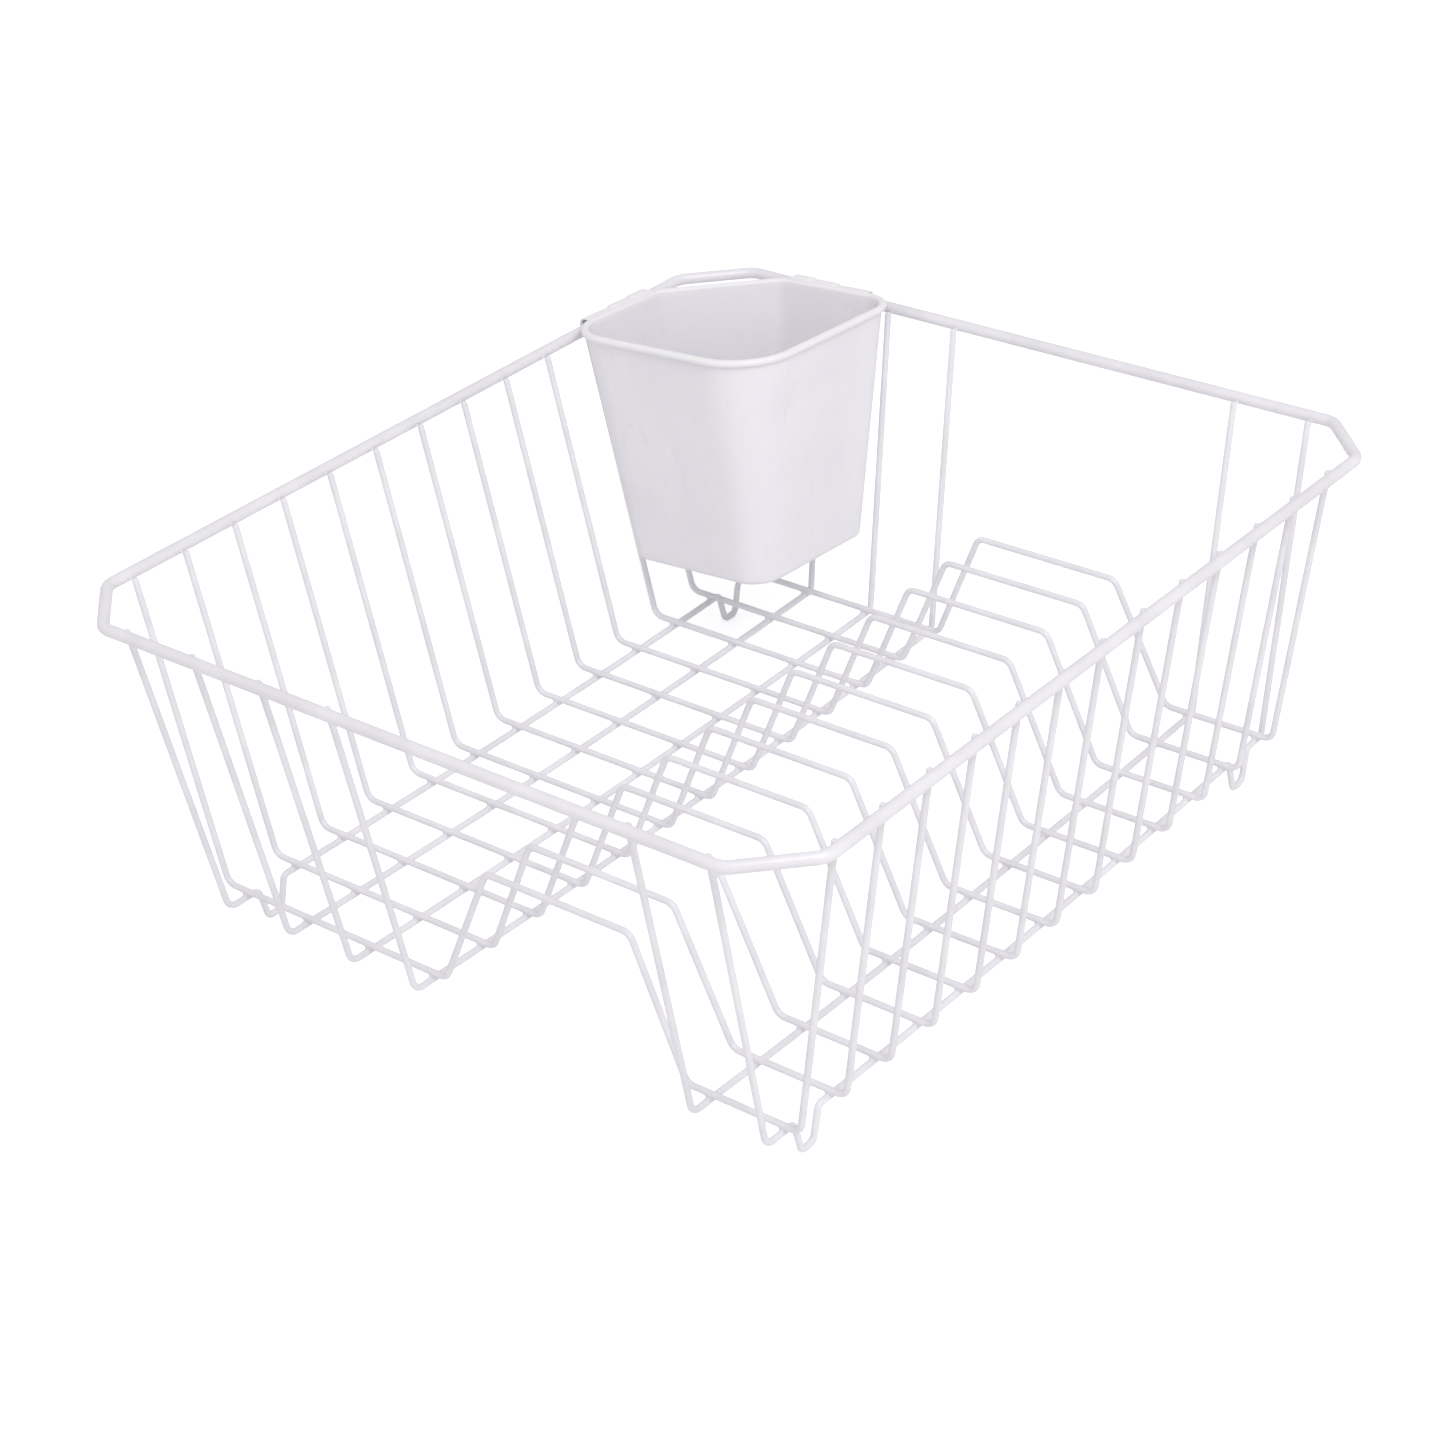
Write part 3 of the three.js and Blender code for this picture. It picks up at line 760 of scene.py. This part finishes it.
def mottle_group():
    """Slow unevenness of a coat or a moulding: noise, spread to 0..1."""
    if "surface_mottle" in bpy.data.node_groups:
        return bpy.data.node_groups["surface_mottle"]
    tree, entry, leave = group_tree("surface_mottle", {"Scale": 60.0}, ["Mask"])
    value = noise_node(tree, entry.outputs["Vector"], entry.outputs["Scale"], 3.0, 0.4)
    tree.links.new(range_node(tree, value, 0.32, 0.7), leave.inputs["Mask"])
    return tree


def skin_group():
    """Fine skin: two sizes of noise added together as a height, for a bump."""
    if "fine_skin" in bpy.data.node_groups:
        return bpy.data.node_groups["fine_skin"]
    tree, entry, leave = group_tree("fine_skin", {"Scale": 700.0, "Grain": 0.4}, ["Height"])
    slow = noise_node(tree, entry.outputs["Vector"], entry.outputs["Scale"], 2.0)
    faster = math_node(tree, "MULTIPLY", entry.outputs["Scale"], 4.3)
    fast = noise_node(tree, entry.outputs["Vector"], faster, 1.0)
    grain = math_node(tree, "MULTIPLY", fast, entry.outputs["Grain"])
    tree.links.new(math_node(tree, "ADD", slow, grain), leave.inputs["Height"])
    return tree


def marks_group():
    """Small marks: spots where the distance to a scattered point is short and the point's random
    number is high, broken up by noise."""
    if "small_marks" in bpy.data.node_groups:
        return bpy.data.node_groups["small_marks"]
    tree, entry, leave = group_tree(
        "small_marks", {"Scale": 45.0, "Size": 0.06, "Share": 0.75}, ["Mask"]
    )
    cells = tree.nodes.new("ShaderNodeTexVoronoi")
    feed(tree, cells, {label: entry.outputs[label] for label in ("Vector", "Scale")})
    near = math_node(tree, "LESS_THAN", cells.outputs["Distance"], entry.outputs["Size"])
    split = tree.nodes.new("ShaderNodeSeparateColor")
    feed(tree, split, {"Color": cells.outputs["Color"]})
    chosen = math_node(tree, "GREATER_THAN", split.outputs[0], entry.outputs["Share"])
    tree.links.new(math_node(tree, "MULTIPLY", near, chosen), leave.inputs["Mask"])
    return tree


def place_group(tree, group, vector, **values):
    """A node group placed in a material, read at a vector, with its own values."""
    node = tree.nodes.new("ShaderNodeGroup")
    node.node_tree = group
    feed(tree, node, {"Vector": vector, **values})
    return node.outputs[0]


def mix_colour(tree, factor, first, second):
    """Two colours mixed by a factor; each is a socket or a linear colour."""
    node = tree.nodes.new("ShaderNodeMix")
    node.data_type = "RGBA"
    first, second = (
        value if isinstance(value, bpy.types.NodeSocket) else (*value, 1)
        for value in (first, second)
    )
    feed(tree, node, {"Factor": factor, 6: first, 7: second})
    return node.outputs[2]


def bump_node(tree, height, strength, distance):
    """A Bump node's normal from a height."""
    node = tree.nodes.new("ShaderNodeBump")
    feed(tree, node, {"Strength": strength, "Distance": distance, "Height": height})
    return node.outputs["Normal"]


def plain_material(name):
    """A new material and its tree, shader and Object coordinates."""
    material = bpy.data.materials.new(name)
    material.use_nodes = True
    tree = material.node_tree
    shader = tree.nodes["Principled BSDF"]
    vector = tree.nodes.new("ShaderNodeTexCoord").outputs["Object"]
    return material, tree, shader, vector


def coating_material(name, thick, thin):
    """Dipped plastic on wire: uneven thickness, a fine soft skin and a few dark pits."""
    if name in bpy.data.materials:
        return bpy.data.materials[name]
    finish = settings().finish
    material, tree, shader, vector = plain_material(name)
    uneven = place_group(tree, mottle_group(), vector, Scale=55.0)
    pits = place_group(tree, marks_group(), vector, Scale=38.0, Size=0.022, Share=0.9)
    base = mix_colour(tree, uneven, thick, thin)
    base = mix_colour(tree, math_node(tree, "MULTIPLY", pits, 0.75), base, (0.12, 0.11, 0.12))
    rough = math_node(tree, "MULTIPLY_ADD", uneven, 0.12, finish.coating_rough - 0.04)
    skin = place_group(tree, skin_group(), vector, Scale=420.0, Grain=0.3)
    normal = bump_node(tree, skin, 0.35, 0.0002)
    feed(tree, shader, {"Base Color": base, "Roughness": rough, "Normal": normal, "IOR": 1.5})
    feed(tree, shader, {"Coat Weight": 0.15, "Coat Roughness": 0.2})
    return material


def cup_material():
    """Moulded plastic: slow unevenness, faint upright scuffs, a fine satin skin, and a lip that is
    drawn a little brighter and yellower, found by its height along the cup's own axis."""
    if "moulded_plastic" in bpy.data.materials:
        return bpy.data.materials["moulded_plastic"]
    finish = settings().finish
    material, tree, shader, vector = plain_material("moulded_plastic")
    uneven = place_group(tree, mottle_group(), vector, Scale=26.0)
    stretch = tree.nodes.new("ShaderNodeMapping")
    feed(tree, stretch, {"Vector": vector, "Scale": (1.0, 1.0, 0.22)})
    streaks = noise_node(tree, stretch.outputs["Vector"], 210.0, 4.0, 1.2)
    scuffs = range_node(tree, streaks, 0.6, 0.74)
    marks = place_group(tree, marks_group(), vector, Scale=120.0, Size=0.16, Share=0.93)
    base = mix_colour(tree, math_node(tree, "MULTIPLY", uneven, 0.35), finish.cup, finish.cup_mark)
    soft = math_node(tree, "MULTIPLY", scuffs, 0.35)
    base = mix_colour(tree, soft, base, finish.cup_mark)
    base = mix_colour(tree, math_node(tree, "MULTIPLY", marks, 0.3), base, finish.cup_mark)
    base = mix_colour(tree, lip_mask(tree, vector), base, finish.lip)
    rough = math_node(tree, "MULTIPLY_ADD", scuffs, 0.14, finish.cup_rough - 0.04)
    skin = place_group(tree, skin_group(), vector, Scale=900.0, Grain=0.5)
    normal = bump_node(tree, skin, 0.25, 0.00012)
    feed(tree, shader, {"Base Color": base, "Roughness": rough, "Normal": normal, "IOR": 1.49})
    return material


def lip_mask(tree, vector):
    """1 on the cup's lip and 0 below it: the height along the cup's axis, as a dot product with the
    axis less that of the lip's underside."""
    cup = settings().cup
    places = placed(np.array([[0, 0, 0.0], [0, 0, -0.01], [0, 0, -cup.lip_height - 0.0003]]))
    axis = unit(places[0] - places[1])
    dot = tree.nodes.new("ShaderNodeVectorMath")
    dot.operation = "DOT_PRODUCT"
    feed(tree, dot, {0: vector, 1: axis})
    level = float(places[2] @ axis)
    return range_node(tree, dot.outputs["Value"], level, level + 0.0004)


def floor_material():
    """A matt pale sheet with a faint slow unevenness, lifted to white for the camera's own rays, as a
    backdrop with its own lamps would be."""
    material, tree, shader, vector = plain_material("pale_floor")
    stage = settings().stage
    seen = tree.nodes.new("ShaderNodeLightPath").outputs["Is Camera Ray"]
    lifted = math_node(tree, "MULTIPLY", seen, stage.backdrop)
    uneven = place_group(tree, mottle_group(), vector, Scale=1.5)
    base = mix_colour(tree, uneven, stage.floor, [0.985 * part for part in stage.floor])
    feed(tree, shader, {"Emission Strength": lifted, "Emission Color": (1, 1, 1, 1)})
    feed(tree, shader, {"Base Color": base, "Roughness": 0.8})
    return material


def wire_coating():
    """The coating of all wires."""
    finish = settings().finish
    return coating_material("dipped_coating", finish.coating, finish.coating_thin)


def weld_coating():
    """The coating where it has pooled in welds."""
    finish = settings().finish
    return coating_material("pooled_coating", finish.weld, finish.coating_thin)


# ------------------------------ operators


class DISHRACK_OT_rim(bpy.types.Operator):
    """Make the rim: one closed ring of thick wire with chamfered corners"""

    bl_idname = "dish_rack.rim"
    bl_label = "Rim"

    def execute(self, context):
        wire = settings().wire
        detail = settings().detail
        near_x, far_x, plate_y, open_y, height = rim_lines()
        cut = wire.rim_chamfer
        outline = [
            [far_x - cut, plate_y], [far_x, plate_y + cut], [far_x, open_y - cut],
            [far_x - cut, open_y], [near_x + cut, open_y], [near_x, open_y - cut],
            [near_x, plate_y + cut], [near_x + cut, plate_y],
        ]
        corners = np.array([[x, y, height] for x, y in outline])
        before, after = np.roll(corners, 1, 0), np.roll(corners, -1, 0)
        line, heading = arcs(before, corners, after, wire.rim_bend, detail.bend)
        x, _, _ = plate_places()
        seam = (x[len(x) // 2] + x[len(x) // 2 + 1]) / 2 - wire.weld_gap / 2
        along = np.linspace(-1, 1, 17)
        level = np.ones_like(along)
        straight = np.stack(
            [seam + along * wire.bead_length, plate_y * level, height * level], -1
        )
        swell = wire.bead_proud * np.cos(np.pi / 2 * along) ** 2
        line = np.concatenate([straight, line.reshape(-1, 3)])
        heading = np.concatenate([level[:, None] * [1.0, 0, 0], heading.reshape(-1, 3)])
        radii = np.pad(swell, (0, len(line) - len(swell))) + wire.rim_wire / 2
        ring = tube(line, heading, np.array([0, 0, 1.0]), radii, 2 * detail.sides)
        piece("rim", shell(ring, wrap=True), RACK, ["rim_wire"], "coated_wire", wire_coating())
        return {"FINISHED"}


class DISHRACK_OT_plate_wires(bpy.types.Operator):
    """Make the plate wires, which cross the rack and rise in one hump each"""

    bl_idname = "dish_rack.plate_wires"
    bl_label = "Plate wires"

    def execute(self, context):
        wire = settings().wire
        for name, corners in zip(PLATE_WIRES, plate_corners()):
            radii = np.full(len(corners) - 2, wire.wire_bend)
            dress_wire(name, corners, radii, (1, 0, 0))
        return {"FINISHED"}


class DISHRACK_OT_long_wires(bpy.types.Operator):
    """Make the long wires under the plate wires, two of them with foot loops"""

    bl_idname = "dish_rack.long_wires"
    bl_label = "Long wires"

    def execute(self, context):
        for name in LONG_WIRES:
            dress_wire(name, *long_corners(name), (0, 1, 0))
        return {"FINISHED"}


class DISHRACK_OT_floor_welds(bpy.types.Operator):
    """Fill the welds where the plate wires cross the long wires"""

    bl_idname = "dish_rack.floor_welds"
    bl_label = "Floor welds"

    def execute(self, context):
        wire = settings().wire
        x, z, _ = plate_places()
        y = np.array([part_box(name)[0][1] + wire.wire / 2 for name in LONG_WIRES])
        across, along = (grid.ravel() for grid in np.meshgrid(x, y, indexing="ij"))
        level = np.repeat(z, len(y))
        middle = np.stack([across, along, level], -1)
        below = middle - np.array([0, 0, wire.wire + wire.weld_gap])
        along_x, along_y = 0.006 * np.eye(3)[:2]
        plate_rod = (middle - along_y, middle + along_y, wire.wire / 2)
        long_rod = (below - along_x, below + along_x, wire.wire / 2)
        reach = 0.0024
        surface = weld_surfaces(plate_rod, long_rod, reach)
        piece("floor_welds", surface, RACK, [], "coated_wire", weld_coating())
        return {"FINISHED"}


class DISHRACK_OT_rim_welds(bpy.types.Operator):
    """Fill the welds where the wall wires end against the rim"""

    bl_idname = "dish_rack.rim_welds"
    bl_label = "Rim welds"

    def execute(self, context):
        wire = settings().wire
        near_x, far_x, plate_y, open_y, height = rim_lines()
        plates = plate_corners()
        longs = [long_corners(name)[0] for name in LONG_WIRES]
        tops, feet = (
            np.concatenate([[line[k] for line in lines] for lines in (plates, longs) for k in pair])
            for pair in ((0, -1), (1, -2))
        )
        sides = np.repeat([0, 1, 2, 3], [len(plates)] * 2 + [len(longs)] * 2)
        on_rim = tops.copy()
        on_rim[:, 2] = height
        on_rim[:, 1] = np.select([sides == 0, sides == 1], [open_y, plate_y], on_rim[:, 1])
        on_rim[:, 0] = np.select([sides == 2, sides == 3], [near_x, far_x], on_rim[:, 0])
        along_x, along_y = 0.008 * np.eye(3)[:2]
        run = np.where((sides < 2)[:, None], along_x, along_y)
        down = unit(feet - tops)
        wall_piece = 0.012
        wall_rod = (tops + down * wire.wire / 2, tops + down * wall_piece, wire.wire / 2)
        rim_rod = (on_rim - run, on_rim + run, wire.rim_wire / 2)
        reach = 0.0027
        surface = weld_surfaces(wall_rod, rim_rod, reach)
        piece("rim_welds", surface, RACK, [], "coated_wire", weld_coating())
        return {"FINISHED"}


class DISHRACK_OT_cup(bpy.types.Operator):
    """Make the cutlery cup's body with its rolled lip"""

    bl_idname = "dish_rack.cup"
    bl_label = "Cup"

    def execute(self, context):
        piece("cup_body", cup_surface(), CUP, ["cutlery_cup"], "cup_plastic", cup_material())
        return {"FINISHED"}


class DISHRACK_OT_cup_hooks(bpy.types.Operator):
    """Make the two flanges that hook the cup on the rim"""

    bl_idname = "dish_rack.cup_hooks"
    bl_label = "Cup hooks"

    def execute(self, context):
        points, quads, triangles = capped(flange_surface())
        far = placed(points), quads[:, ::-1], triangles
        swapped = placed(points[:, [1, 0, 2]]), quads, triangles
        piece("far_hook", far, CUP, [], "cup_plastic", cup_material())
        piece("open_hook", swapped, CUP, [], "cup_plastic", cup_material())
        return {"FINISHED"}


class DISHRACK_OT_stage(bpy.types.Operator):
    """Make the floor, the lights and the camera"""

    bl_idname = "dish_rack.stage"
    bl_label = "Stage"

    def execute(self, context):
        stage = settings().stage
        scene = context.scene
        floor_sheet()
        add_light("key_light", stage.key_place, stage.key_size, stage.key)
        add_light("side_light", stage.side_place, stage.side_size, stage.side)
        world = bpy.data.worlds.new("even_light")
        world.use_nodes = True
        background = world.node_tree.nodes["Background"]
        background.inputs["Color"].default_value = (1, 1, 1, 1)
        background.inputs["Strength"].default_value = stage.sky
        scene.world = world
        scene.view_settings.view_transform = "Standard"
        add_camera()
        return {"FINISHED"}


def floor_sheet():
    """A round floor: rings of points at growing distances from the middle."""
    turn = np.linspace(0, 2 * np.pi, 64, endpoint=False)
    rings = np.geomspace(0.2, 14, 12)[:, None]
    flat = np.stack([rings * np.cos(turn), rings * np.sin(turn), 0 * rings * turn], -1)
    quads, triangles = shell_faces(len(rings), len(turn), False)
    below_feet = 5e-5
    points = np.concatenate([flat.reshape(-1, 3), [[0, 0, 0]]]) - [0, 0, below_feet]
    middle = triangles[: len(turn)]
    mesh = bpy.data.meshes.new("floor")
    mesh.from_pydata(points.tolist(), [], quads[:, ::-1].tolist() + middle[:, ::-1].tolist())
    floor = bpy.data.objects.new("floor", mesh)
    bpy.context.scene.collection.objects.link(floor)
    mesh.materials.append(floor_material())


def add_light(name, place, size, energy):
    """A square soft light that faces the rack."""
    lamp = bpy.data.lights.new(name, "AREA")
    lamp.size = size
    lamp.energy = energy
    put(name, lamp, place, -np.array(place), (0, 0, 1))


def add_camera():
    """The camera at its place, with no shift."""
    stage = settings().stage
    lens = bpy.data.cameras.new("camera")
    lens.sensor_width = 36
    lens.lens = stage.lens
    lens.clip_start = 0.01
    bpy.context.scene.camera = put("camera", lens, stage.eye, stage.forward, stage.above)


def put(name, data, place, forward, above):
    """A light or camera in the scene: its -Z looks forward and its +Y is as near above as can be."""
    place, forward, above = (np.array(v, float) for v in (place, forward, above))
    back = -unit(forward)
    right = unit(np.cross(above, back))
    up = np.cross(back, right)
    matrix = np.eye(4)
    matrix[:3, 0], matrix[:3, 1], matrix[:3, 2], matrix[:3, 3] = right, up, back, place
    made = bpy.data.objects.new(name, data)
    made.matrix_world = Matrix(matrix.tolist())
    bpy.context.scene.collection.objects.link(made)
    return made


class DISHRACK_PT_panel(bpy.types.Panel):
    """Settings and makers of the dish rack"""

    bl_idname = "DISHRACK_PT_panel"
    bl_label = "Dish Rack"
    bl_space_type = "VIEW_3D"
    bl_region_type = "UI"
    bl_category = "Dish Rack"

    def draw(self, context):
        groups = context.scene.dish_rack
        for name in ("wire", "cup", "finish", "stage", "detail"):
            box = self.layout.box()
            box.label(text=name.capitalize())
            group = getattr(groups, name)
            for key in group.__annotations__:
                box.prop(group, key)
        for operator in OPERATORS:
            self.layout.operator(operator.bl_idname)


class DISHRACK_PG_all(bpy.types.PropertyGroup):
    """All settings."""

    wire: PointerProperty(type=DISHRACK_PG_wire, name="Wire", description="Wire sizes")
    cup: PointerProperty(type=DISHRACK_PG_cup, name="Cup", description="Cup sizes")
    finish: PointerProperty(type=DISHRACK_PG_finish, name="Finish", description="Finishes")
    stage: PointerProperty(type=DISHRACK_PG_stage, name="Stage", description="Stage")
    detail: PointerProperty(type=DISHRACK_PG_detail, name="Detail", description="Detail")


OPERATORS = (
    DISHRACK_OT_rim,
    DISHRACK_OT_plate_wires,
    DISHRACK_OT_long_wires,
    DISHRACK_OT_floor_welds,
    DISHRACK_OT_rim_welds,
    DISHRACK_OT_cup,
    DISHRACK_OT_cup_hooks,
    DISHRACK_OT_stage,
)

CLASSES = (
    DISHRACK_PG_wire,
    DISHRACK_PG_cup,
    DISHRACK_PG_finish,
    DISHRACK_PG_stage,
    DISHRACK_PG_detail,
    DISHRACK_PG_all,
    *OPERATORS,
    DISHRACK_PT_panel,
)


def register():
    """Registers every class and puts the settings on the scene."""
    for cls in CLASSES:
        bpy.utils.register_class(cls)
    bpy.types.Scene.dish_rack = PointerProperty(type=DISHRACK_PG_all)


def unregister():
    """Takes the settings off the scene and unregisters every class."""
    del bpy.types.Scene.dish_rack
    for cls in reversed(CLASSES):
        bpy.utils.unregister_class(cls)


def main():
    """Registers the add-on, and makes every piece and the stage."""
    register()
    for operator in OPERATORS:
        group, name = operator.bl_idname.split(".")
        getattr(getattr(bpy.ops, group), name)()


if __name__ == "__main__":
    main()
